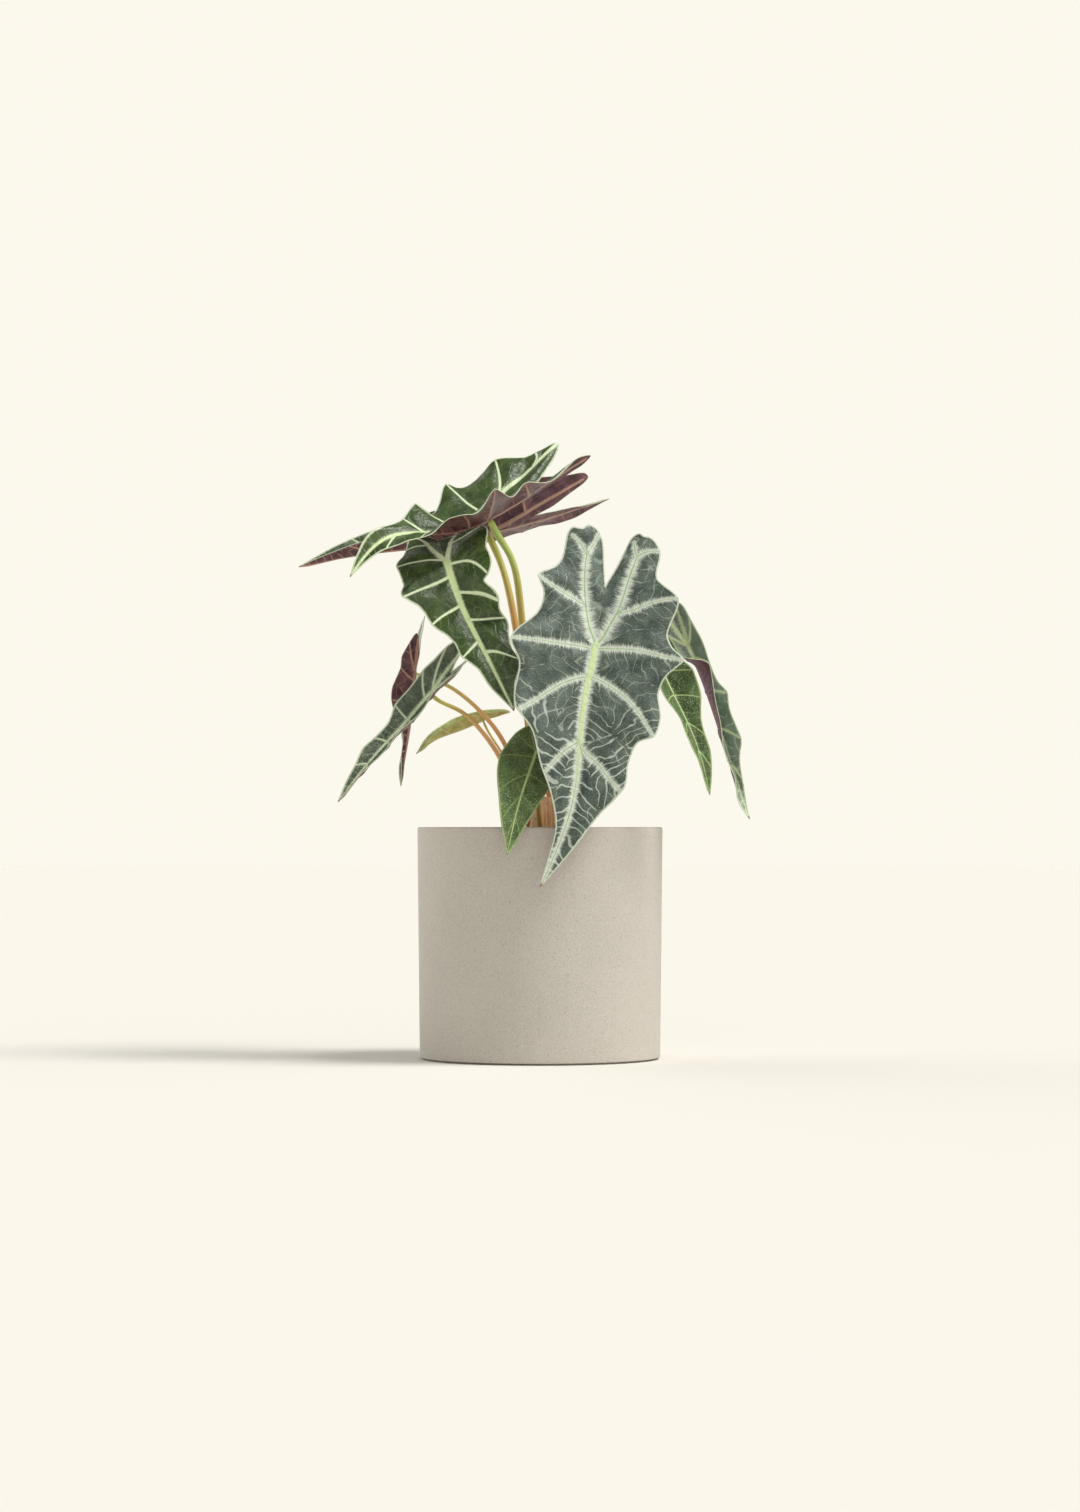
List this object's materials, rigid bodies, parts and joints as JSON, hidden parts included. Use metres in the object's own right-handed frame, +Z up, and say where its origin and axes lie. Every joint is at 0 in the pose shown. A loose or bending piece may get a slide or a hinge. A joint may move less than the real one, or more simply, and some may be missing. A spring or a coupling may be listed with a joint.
{
  "type": "potted polly alocasia",
  "caption": "Young arrow-leaved alocasia with pale veins and purple undersides, growing in a plain straight matt cylinder pot.",
  "frame": {"origin": "centre of the pot's flat underside, on the surface that it stands on", "axes": "+Z up along the pot's axis; the usual view is from -Y with +X to the right"},
  "size_m": [0.293, 0.1789, 0.4052],
  "materials": {
    "pot_clay": "matte",
    "soil_earth": "rough, dark, crumbly",
    "crown_sheath": "satin, streaked",
    "stalk_skin": "satin, yellow-green to tan",
    "blade_dark": "satin, dark green with pale veins, purple below",
    "blade_grey": "satin, grey-green with broad pale veins",
    "blade_purple": "satin, purple underside",
    "blade_young": "satin, mid green"
  },
  "bodies": {
    "root": {"pot": "pot_clay", "soil": "soil_earth", "crown": "crown_sheath", "blade_front": "blade_grey", "blade_left": "blade_dark", "blade_top": "blade_dark", "blade_back": "blade_purple", "blade_low_left": "blade_dark", "blade_rear_left": "blade_purple", "blade_sprout": "blade_young", "blade_young_front": "blade_young", "blade_rear_right": "blade_dark", "blade_right": "blade_young", "stalk_front": "stalk_skin", "stalk_left": "stalk_skin", "stalk_top": "stalk_skin", "stalk_back": "stalk_skin", "stalk_low_left": "stalk_skin", "stalk_rear_left": "stalk_skin", "stalk_sprout": "stalk_skin", "stalk_young_front": "stalk_skin", "stalk_rear_right": "stalk_skin", "stalk_right": "stalk_skin"}
  },
  "joints": []
}
